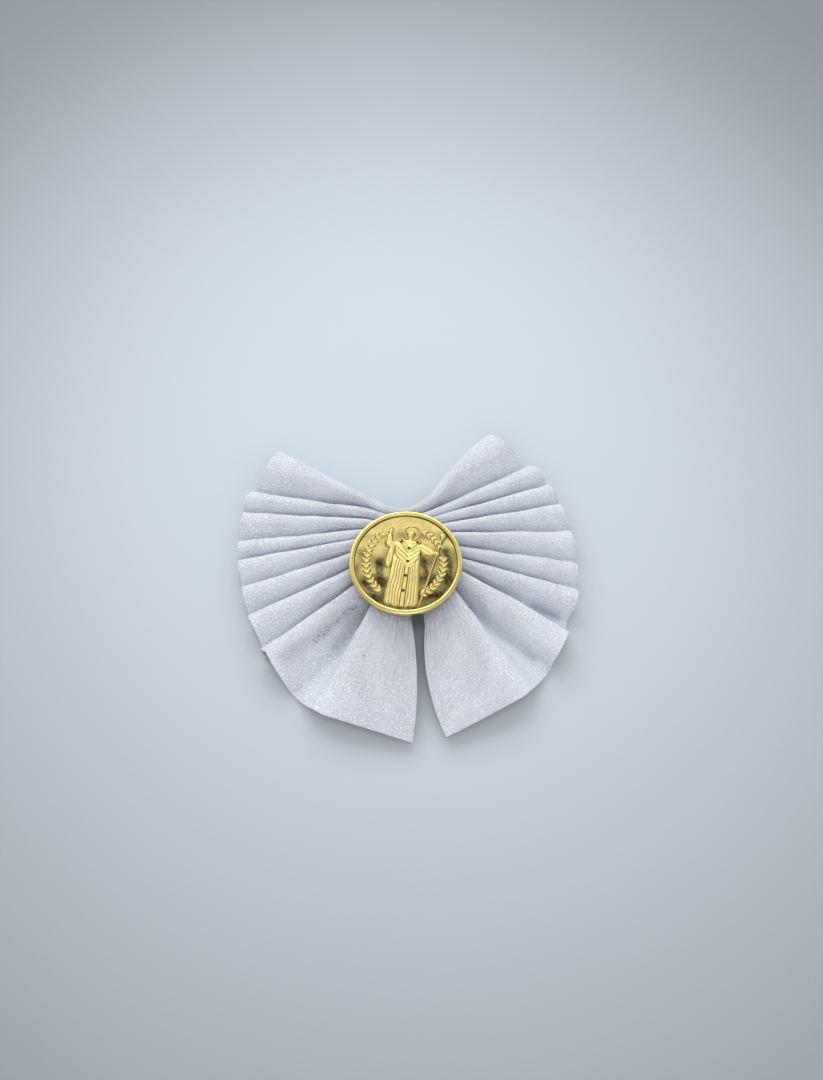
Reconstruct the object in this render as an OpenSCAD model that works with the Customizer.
// A gold medal worn on a pleated rosette of white leather, lying face up.
// Millimetres. X runs to the right, Y away from the viewer, Z up, and the rosette rests on Z = 0.

/* [Medal] */
// Diameter across the rim
medal_d = 27.4; // [26:0.2:28]
// Thickness at the rim
medal_t = 1.8; // [1.6:0.1:1.9]
// Width of the raised rim
rim_w = 1.15; // [0.9:0.05:1.25]
// Depth of the field below the rim
field_depth = 0.6; // [0.5:0.05:0.7]
// Turn of the figure, clockwise from the far side
figure_turn = 14; // [0:1:30]
// Height of the medal's face above the surface it lies on
face_z = 12.6; // [12.6:0.1:14]

/* [Relief] */
// Height of the gown above the field
gown_h = 0.22; // [0.15:0.01:0.26]
// Height of the gown's pleats, the sleeves and the staff
fold_h = 0.34; // [0.3:0.01:0.38]
// Height of the cape's folds and of the collar
top_h = 0.46; // [0.42:0.01:0.5]
// Height of the leaf sprays and of the ring behind the head
spray_h = 0.22; // [0.15:0.01:0.3]

/* [Leather] */
// Thickness of the leather
leather_t = 1.0; // [0.9:0.05:1]
// Thickness where the gather presses it, under the medal
pressed_t = 0.8; // [0.7:0.05:0.8]
// Distance from fold to fold inside the gather
gather_pitch = 2.0; // [2:0.05:2.1]
// Height of the folds' middle line in the gather
gather_crest_z = 10.05; // [9.6:0.05:10.1]
// Height of the valleys' middle line in the gather
gather_valley_z = 3.7; // [3.6:0.1:4.2]

/* [Back pin] */
// Length of the back bar
bar_l = 22; // [20:1:24]
// Width of the back bar
bar_w = 4; // [3:0.5:5]
// Diameter of the pin wire
wire_d = 0.8; // [0.6:0.1:0.8]

/* [Hidden] */
$fn = 96;

// The medal's axis and the gather's middle, seen from above
medal_at = [-0.96, 1.66];
hub = medal_at + [1.3, 4.55];

// The folds of the strip on each side of the hub, one row each from the far fold to the last one,
// which is the strip's near edge:
// [angle of its outer end about the hub, reach, heading of its straight part, bow of that part,
//  bulge of the outer edge before the next fold, notch of that edge at the valley,
//  height of its middle line at the outer end, roundness behind it, roundness before it,
//  place of the next valley, roundness of that valley before its bottom, and after it,
//  place of that valley at the medal's edge, and its roundness after its bottom there],
// with places and roundness as shares of the way from fold to fold
left_folds = [
    [44.8, 44.1, 35.4, 0.1, 0.6, 0.6, 8.0, 0.34, 0.46, 0.88, 0.2, 0.2, 0.6, 0.16],
    [29.4, 44.7, 18.5, 0, 0.7, 0.4, 5.6, 0.3, 0.45, 0.86, 0.22, 0.22, 0.6, 0.18],
    [22.0, 43.6, 13.5, 0, 0.5, 0.2, 5.5, 0.3, 0.45, 0.9, 0.22, 0.22, 0.6, 0.18],
    [11.0, 42.7, 3.5, 0, 0.4, 0, 5.5, 0.3, 0.45, 0.9, 0.22, 0.22, 0.6, 0.18],
    [4.5, 42.2, -1.0, 0, 0.2, 0, 5.5, 0.3, 0.45, 0.9, 0.22, 0.22, 0.6, 0.18],
    [-6.2, 41.6, -10, 0, 0.2, 0, 5.6, 0.3, 0.45, 0.9, 0.22, 0.22, 0.6, 0.18],
    [-16.9, 41.9, -18, 0, 0, -0.8, 5.8, 0.3, 0.45, 0.9, 0.22, 0.22, 0.6, 0.18],
    [-29.9, 42.2, -29.5, 0, 1.5, 0, 6.2, 0.3, 0.36, 0.52, 0.04, 0.34, 0.86, 0.4],
    [-56.5, 44.7, -58.5, 0.25, 0.1, 0, 4.6, 0.24, 0.36, 0, 0, 0, 0, 0],
    [-84.0, 46.0, -83.5, -1.2, 0, 0, 2.4, 0, 0, 0, 0, 0, 0, 0]
];
right_folds = [
    [47.7, 39.9, 39.5, 0.9, 0.4, 0.6, 8.1, 0.34, 0.46, 0.88, 0.2, 0.2, 0.6, 0.16],
    [30.2, 41.4, 22, 0, 0.8, 0.7, 5.6, 0.3, 0.45, 0.84, 0.22, 0.22, 0.6, 0.18],
    [21.2, 41.2, 13.5, 0, 0.9, 0.8, 5.5, 0.3, 0.45, 0.86, 0.22, 0.22, 0.6, 0.18],
    [12.6, 41.2, 6.7, 0, 0.7, 0.6, 5.5, 0.3, 0.45, 0.88, 0.22, 0.22, 0.6, 0.18],
    [1.4, 41.2, -3.3, 0, 0.7, 1.6, 5.5, 0.24, 0.45, 0.9, 0.22, 0.22, 0.6, 0.18],
    [-10.8, 41.6, -13, 0, 0.3, 0.6, 5.6, 0.3, 0.45, 0.9, 0.22, 0.22, 0.6, 0.18],
    [-20.8, 42.4, -21.3, 0, 0.3, 1.0, 5.8, 0.3, 0.45, 0.52, 0.05, 0.5, 0.58, 0.45],
    [-36.6, 43.4, -38, 0.4, 1, 0, 6.2, 0.25, 0.46, 0.38, 0.04, 0.36, 0.6, 0.6],
    [-60.5, 44.6, -64.5, 0.5, 0.2, 0, 4.6, 0.24, 0.36, 0, 0, 0, 0, 0],
    [-86.0, 45.6, -87, -1.9, 0, 0, 2.4, 0, 0, 0, 0, 0, 0, 0]
];
function end_angle(fold) = fold[0];
function reach(fold) = fold[1];
function heading(fold) = fold[2];
function bow(fold) = fold[3];
function bulge(fold) = fold[4];
function notch(fold) = fold[5];
function end_z(fold) = fold[6];
function round_behind(fold) = fold[7];
function round_before(fold) = fold[8];
function valley_at(fold) = fold[9];
function round_valley(fold) = fold[10];
function floor_round(fold) = fold[11];
function knee_at(fold) = fold[12];
function knee_floor(fold) = fold[13];
folds_n = len(left_folds);

// Stations along each fold: 0 is the gather, knee_t the medal's edge, 1 the outer end
knee_t = 0.27;
stations = [0, 0.1, 0.18, knee_t, 0.42, 0.61, 0.8, 1];
// Steps from a fold to a valley
steps = 6;
// The tightest roundness of a fold, in the gather and beyond it
tight_gather = 1.2;
tight = 1.5;
// Heights of the middle line at the medal's edge
knee_crest_z = 9.2;
knee_valley_z = 3.4;
// The strip's far edge in the gather, at the medal's edge and at the outer end:
// how far it lies behind the first fold, and its height
far_edge_back = [1.0, 1.4, 2.0];
far_edge_z = [4.5, 3.6, leather_t / 2];
// The strip's near edge: its height in the gather and at the medal's edge
near_edge_gather_z = 5.5;
near_edge_knee_z = 6.0;
// Places in the gather, along Y from the hub, of the first fold and of the near edge
first_fold_y = 10.2;
near_edge_y = -8.7;
// How far the last panel runs straight in from the near edge, as shares of its width and its drop
near_edge_pull = [0.3, 0.35];

function mix(a, b, s) = a + (b - a) * s;
function smooth(x) = let (k = max(0, min(1, x))) k ^ 2 * (3 - 2 * k);
// A value that is known in the gather, at the medal's edge and at the outer end
function along(three, t) =
    t < knee_t
        ? mix(three[0], three[1], t / knee_t)
        : mix(three[1], three[2], (t - knee_t) / (1 - knee_t));
function direction(angle) = [cos(angle), sin(angle)];

// A fold's line from above, on the right of the hub: it leaves the gather sideways,
// bends under the medal and runs straight to its outer end
function gather_y(i) = i == folds_n - 1 ? near_edge_y : first_fold_y - gather_pitch * i;
function fold_line(folds, i, t) =
    let (
        fold = folds[i],
        start = [0, gather_y(i)],
        end = reach(fold) * direction(end_angle(fold)),
        way = direction(heading(fold)),
        knee = end - (1 - knee_t) * norm(end - start) * way,
        pull = norm(knee - start),
        s = t / knee_t,
        u = (t - knee_t) / (1 - knee_t)
    )
    t < knee_t
        ? (2 * s ^ 3 - 3 * s ^ 2 + 1) * start + (s ^ 3 - 2 * s ^ 2 + s) * pull * [1, 0]
            + (3 * s ^ 2 - 2 * s ^ 3) * knee + (s ^ 3 - s ^ 2) * pull * way
        : mix(knee, end, u) + bow(fold) * 4 * u * (1 - u) * [-way[1], way[0]];

// How far a place between two folds is drawn into the notch: fully in the valley, not at all at the
// folds, from halfway between the folds on or at least a notch's width before the valley
notch_from = 0.5;
notch_w = 0.3;
function dip(f, low) =
    let (from = min(notch_from, low - notch_w))
    smooth(f < low ? (f - from) / (low - from) : (1 - f) / (1 - low));
// A place from above: w counts folds from 0, so 1.5 is halfway from the second to the third
function from_above(folds, w, t) =
    let (
        i = max(0, min(folds_n - 2, floor(w))),
        f = w - i,
        a = fold_line(folds, i, t),
        b = fold_line(folds, i + 1, t),
        outward = (a + b) / max(1, norm(a + b)),
        drawn = notch(folds[i]) * dip(f, valley_at(folds[i])),
        swell = bulge(folds[i]) * 4 * max(0, f * (1 - f)) - drawn
    )
    mix(a, b, f) + t ^ 2 * swell * outward;
function pitch(folds, i, t) = norm(fold_line(folds, i + 1, t) - fold_line(folds, i, t));
// A roundness in shares of the way from fold to fold, never tighter than the leather allows
function not_too_tight(share, folds, i, t) =
    max(share, along([tight_gather, tight, tight], t) / pitch(folds, i, t));
function roundness(share, folds, i, t) = not_too_tight(share * along([0, 0.8, 1], t), folds, i, t);
function floor_roundness(folds, i, t) =
    not_too_tight(along([0, knee_floor(folds[i]), floor_round(folds[i])], t), folds, i, t);

// Points of the leather's middle line at station t, as [w, height]
function crest(folds, i, t) = [i, along([gather_crest_z, knee_crest_z, end_z(folds[i])], t)];
function valley(folds, i, t) = [
    i + along([0.5, knee_at(folds[i]), valley_at(folds[i])], t),
    along([gather_valley_z, knee_valley_z, leather_t / 2], t)
];
function far_edge(folds, t) = [-along(far_edge_back, t) / pitch(folds, 0, t), along(far_edge_z, t)];
function near_edge(folds, t) =
    [folds_n - 1, along([near_edge_gather_z, near_edge_knee_z, end_z(folds[folds_n - 1])], t)];

// The stretches between those points, as the four control points of a curve
function first_rise(folds, t) =
    let (a = far_edge(folds, t), b = crest(folds, 0, t))
    [a, [a[0], mix(a[1], b[1], 0.5)], b - [roundness(round_behind(folds[0]), folds, 0, t), 0], b];
function fall(folds, i, t) =
    let (a = crest(folds, i, t), b = valley(folds, i, t))
    [
        a,
        a + [roundness(round_before(folds[i]), folds, i, t), 0],
        b - [roundness(round_valley(folds[i]), folds, i, t), 0],
        b
    ];
function rise(folds, i, t) =
    let (a = valley(folds, i, t), b = crest(folds, i + 1, t))
    [
        a,
        a + [floor_roundness(folds, i, t), 0],
        b - [roundness(round_behind(folds[i + 1]), folds, i, t), 0],
        b
    ];
function last_fall(folds, t) =
    let (a = crest(folds, folds_n - 2, t), b = near_edge(folds, t))
    [
        a,
        a + [roundness(round_before(folds[folds_n - 2]), folds, folds_n - 2, t), 0],
        [mix(b[0], a[0], near_edge_pull[0]), mix(b[1], a[1], near_edge_pull[1])],
        b
    ];
function stretches(folds, t) = [
    first_rise(folds, t),
    for (i = [0 : folds_n - 3]) each [fall(folds, i, t), rise(folds, i, t)],
    last_fall(folds, t)
];
function on_curve(p, s) =
    (1 - s) ^ 3 * p[0] + 3 * (1 - s) ^ 2 * s * p[1] + 3 * (1 - s) * s ^ 2 * p[2] + s ^ 3 * p[3];
// The leather's middle line at station t, with side -1 to mirror it to the left
function section(folds, t, side) =
    let (parts = stretches(folds, t), last = len(parts) - 1)
    [
        for (k = [0 : last], j = [0 : (k == last ? steps : steps - 1)])
            let (p = on_curve(parts[k], j / steps), q = from_above(folds, p[0], t))
            [hub[0] + side * q[0], hub[1] + q[1], p[1]]
    ];

// One strip of leather, pleated along its length, pinched in its middle and fanned out at both ends
module leather_rosette() {
    // Columns run from the left end through the gather to the right end
    ends = len(stations) - 1;
    columns = [
        for (k = [-ends : ends])
            section(k < 0 ? left_folds : right_folds, stations[abs(k)], k < 0 ? -1 : 1)
    ];
    half_t = [
        for (k = [-ends : ends]) mix(pressed_t, leather_t, stations[abs(k)]) / 2
    ];
    last_c = len(columns) - 1;
    last_r = len(columns[0]) - 1;
    function normal(c, r) =
        let (
            across = columns[min(c + 1, last_c)][r] - columns[max(c - 1, 0)][r],
            down = columns[c][min(r + 1, last_r)] - columns[c][max(r - 1, 0)],
            n = cross(down, across)
        )
        n / norm(n);
    points = [
        for (side = [1, -1], c = [0 : last_c], r = [0 : last_r])
            columns[c][r] + side * half_t[c] * normal(c, r)
    ];
    below = (last_c + 1) * (last_r + 1);
    function at(c, r) = c * (last_r + 1) + r;
    function quad(a, b, c, d) = [[a, b, c], [a, c, d]];
    // The face between two points of one edge of the strip and the points below them
    function edge(a, b) = quad(a, b, below + b, below + a);
    faces = [
        for (c = [0 : last_c - 1], r = [0 : last_r - 1])
            let (a = at(c, r), b = at(c + 1, r))
            each concat(
                quad(a, b, b + 1, a + 1),
                quad(below + a, below + a + 1, below + b + 1, below + b)
            ),
        for (c = [0 : last_c - 1])
            each concat(edge(at(c + 1, 0), at(c, 0)), edge(at(c, last_r), at(c + 1, last_r))),
        for (r = [0 : last_r - 1])
            each concat(edge(at(0, r), at(0, r + 1)), edge(at(last_c, r + 1), at(last_c, r)))
    ];
    color([0.92, 0.93, 0.96])
        polyhedron(points = points, faces = faces, convexity = 12);
}

// Shapes of the relief, in the figure's own axes: Y is up the figure, and Z = 0 is the field
sunk = 0.2;
// Steps in height that keep one part of the relief clear on another
front_step = 0.04;
cape_step = 0.03;
sleeve_step = 0.05;
lapel_step = 0.06;
module raised(h) {
    translate([0, 0, -sunk])
        linear_extrude(height = h + sunk)
            children();
}
module band(a, b, width_a, width_b) {
    way = (b - a) / norm(b - a);
    side = [-way[1], way[0]];
    polygon([
        a + side * width_a / 2,
        a - side * width_a / 2,
        b - side * width_b / 2,
        b + side * width_b / 2
    ]);
}
module dome(at, r, h) {
    ball_r = (r ^ 2 + h ^ 2) / (2 * h);
    translate([at[0], at[1], 0])
        intersection() {
            translate([0, 0, h - ball_r])
                sphere(r = ball_r);
            translate([0, 0, -sunk])
                cylinder(r = r, h = h + sunk);
        }
}

// The gown: its outline, its pleats from the waist to the hem, and the band down its front
waist_y = 1.2;
hem_y = -11.1;
gown_pleats = 9;
module gown() {
    raised(gown_h)
        polygon([
            [-3.2, 4.0], [-3.4, 0], [-3.7, -6], [-4.0, -10.3], [-2.7, -11.1], [-1.4, -11.6],
            [0, -11.3], [1.3, -11.5], [2.8, -10.9], [4.1, -10.5], [3.7, -6], [3.3, 0], [3.2, 4.0]
        ]);
    for (k = [0 : gown_pleats - 1]) {
        s = k / (gown_pleats - 1) * 2 - 1;
        raised(fold_h)
            band([3.0 * s, waist_y], [3.75 * s + 0.05, hem_y + 0.8 * s ^ 2], 0.3, 0.5);
    }
    raised(fold_h + front_step)
        band([0.5, -1], [0.25, -11.3], 0.9, 1.1);
}

// The hanging sleeve beside the gown
module hanging_sleeve() {
    raised(fold_h)
        polygon([[-3.1, 4.2], [-4.4, 3.6], [-4.9, -0.8], [-4.3, -1.8], [-3.5, -1.6], [-3.2, 1]]);
}

// The cape over the shoulders, its folds and its collar
cape_point = [0.7, -1.6];
module cape() {
    raised(fold_h + cape_step)
        polygon([
            [-0.7, 5.9], [-2.2, 5.3], [-3.1, 4.3], [-2.9, 2.4], [-2.3, 0.9], [-0.9, -0.8],
            cape_point, [2.0, -0.6], [2.9, 1.2], [3.3, 3.0], [3.3, 4.4], [2.7, 5.3], [1.4, 5.9]
        ]);
    for (k = [0 : 2]) {
        low = [0.45 + 0.05 * k, 2.0 - 1.2 * k];
        raised(top_h)
            band([-2.2 + 0.15 * k, 3.9 - 1.3 * k], low, 0.3, 0.36);
        raised(top_h)
            band([2.9 - 0.1 * k, 3.9 - 1.3 * k], low, 0.3, 0.36);
    }
    for (shoulder = [[-1.7, 5.3], [2.35, 5.5]])
        raised(top_h + lapel_step)
            band(shoulder, [0.35, 3.5], 0.75, 0.6);
}

// The head: a plain oval with a soft round cap, before a thin ring
head_at = [0.37, 7.2];
ring_at = head_at + [0.15, 0.75];
ring_r = 1.95;
ring_w = 0.17;
module head() {
    raised(spray_h)
        translate(ring_at)
            difference() {
                circle(r = ring_r);
                circle(r = ring_r - ring_w);
            }
    raised(fold_h)
        translate(head_at - [0, 1.1])
            square([0.9, 0.9], center = true);
    dome(head_at - [0, 0.15], 0.8, 0.48);
    dome(head_at + [0, 0.25], 0.85, 0.5);
    raised(top_h)
        band(head_at + [-0.85, 0.6], head_at + [0.85, 0.7], 0.36, 0.36);
}

// The arms, each a wide sleeve, a cuff and a hand: one raised, one on the staff
module raised_arm() {
    raised(fold_h)
        polygon([[-2.0, 5.2], [-4.9, 4.7], [-5.4, 4.0], [-4.7, 3.5], [-3.0, 3.7]]);
    raised(fold_h + sleeve_step)
        polygon([[-5.4, 4.0], [-5.1, 6.9], [-4.2, 6.9], [-3.7, 4.3], [-4.5, 3.7]]);
    raised(fold_h)
        band([-4.65, 6.8], [-4.6, 7.7], 0.6, 0.75);
    for (k = [-1 : 2])
        raised(fold_h)
            band([-4.6 + 0.17 * k, 7.5], [-4.62 + 0.24 * k, 8.75 - 0.1 * abs(k - 0.5)], 0.2, 0.17);
}
staff_top = [8.0, 7.3];
staff_foot = [4.5, -10.8];
grip = [7.25, 3.0];
knob_at = staff_top + [0.15, 0.75];
knob_d = 1.5;
module staff_arm() {
    raised(fold_h)
        polygon([[2.7, 5.3], [5.3, 4.4], [6.7, 3.5], [6.6, 2.6], [5.2, 2.5], [3.2, 2.6]]);
    raised(fold_h + sleeve_step)
        band([3.2, 4.6], [6.2, 3.4], 0.6, 0.5);
    dome(grip, 0.62, 0.42);
}
module staff() {
    raised(fold_h)
        band(staff_top, staff_foot, 0.34, 0.3);
    raised(fold_h)
        translate(knob_at)
            circle(d = knob_d);
    raised(top_h)
        translate(knob_at)
            circle(d = knob_d / 2);
}

// Leaf sprays in two arcs round the figure, each leaf pair on a thin stem
leaf_l = 1.45;
leaf_w = 0.55;
leaf_spread = 34;
leaf_step = 8.4;
leaf_gap = 0.05;
stem_w = 0.16;
module leaf() {
    round_r = (leaf_l ^ 2 + leaf_w ^ 2) / (4 * leaf_w);
    translate([leaf_l / 2, 0])
        intersection_for (side = [-1, 1])
            translate([0, side * (round_r - leaf_w / 2)])
                circle(r = round_r);
}
module spray(r, from, to) {
    turn = sign(to - from);
    raised(spray_h)
        rotate(min(from, to))
            difference() {
                intersection() {
                    circle(r = r + stem_w / 2);
                    polygon([
                        [0, 0],
                        for (part = [0, 0.5, 1]) 2 * r * direction(part * abs(to - from))
                    ]);
                }
                circle(r = r - stem_w / 2);
            }
    for (a = [from : turn * leaf_step : to], side = [-1, 1])
        raised(spray_h)
            rotate(a)
                translate([r, 0])
                    rotate(turn * 90 - side * turn * leaf_spread)
                        translate([leaf_gap, 0])
                            leaf();
}

// The holes drilled in the collar and down the front band
hole_d = 0.34;
hole_foot = 0.1;
holes = [[-1.6, 5.15], [2.2, 5.35], [0.35, 3.6], [0.45, 0.1], [0.4, -3.6], [0.3, -7.5]];

module figure() {
    gown();
    hanging_sleeve();
    cape();
    head();
    raised_arm();
    staff_arm();
    staff();
}

// The blank: a disc with a recessed field and a rounded rim
rim_round = 0.28;
rim_slope = 0.12;
module blank() {
    top = medal_t - field_depth;
    foot_r = medal_d / 2 - rim_w - rim_slope;
    foot_w = rim_w + rim_slope;
    rotate_extrude() {
        square([foot_r, top]);
        translate([foot_r, 0])
            polygon([
                [0, 0],
                [foot_w - rim_round, 0],
                for (a = [-90 : 30 : 90])
                    [
                        foot_w - rim_round + rim_round * cos(a),
                        (a < 0 ? rim_round : medal_t - rim_round) + rim_round * sin(a)
                    ],
                [rim_slope + rim_round / 2, medal_t],
                [rim_slope, medal_t - rim_round / 2],
                [0, top]
            ]);
    }
}

module medal() {
    color([0.93, 0.78, 0.3])
        translate([medal_at[0], medal_at[1], face_z - medal_t])
            rotate(-figure_turn)
                difference() {
                    union() {
                        blank();
                        translate([0, 0, medal_t - field_depth]) {
                            figure();
                            spray(9.5, -122, -228);
                            spray(9.1, 70, 32);
                            spray(9.1, -60, 14);
                        }
                    }
                    for (at = holes)
                        translate([at[0], at[1], medal_t - field_depth + hole_foot])
                            cylinder(d = hole_d, h = field_depth, $fn = 24);
                }
}

// The pin on the back, under the gather: a bar with a tab at each end, a block under each tab,
// and a closed pin wire between the blocks, beside the bar
bar_t = 0.8;
bar_z = 1.95;
bar_side = 1.5;
wire_side = -2.6;
wire_z = 0.9;
block_l = 2;
block_w = 1.8;
module back_pin() {
    wire_l = bar_l - bar_w - block_l;
    low_z = wire_z - wire_d / 2;
    color([0.85, 0.75, 0.45])
        translate([hub[0], hub[1], 0]) {
            translate([0, 0, bar_z])
                linear_extrude(height = bar_t)
                    union() {
                        translate([0, bar_side])
                            square([bar_l - bar_w, bar_w], center = true);
                        for (side = [-1, 1])
                            translate([side * (bar_l - bar_w) / 2, bar_side]) {
                                circle(d = bar_w);
                                translate([-block_l / 2, wire_side - bar_side - block_w / 2])
                                    square([block_l, bar_side - wire_side + block_w / 2]);
                            }
                    }
            for (side = [-1, 1])
                translate([side * (bar_l - bar_w) / 2, wire_side, (bar_z + low_z) / 2])
                    cube([block_l, block_w, bar_z - low_z], center = true);
            translate([-wire_l / 2, wire_side, wire_z])
                rotate([0, 90, 0])
                    cylinder(d = wire_d, h = wire_l);
        }
}

medal();
leather_rosette();
back_pin();
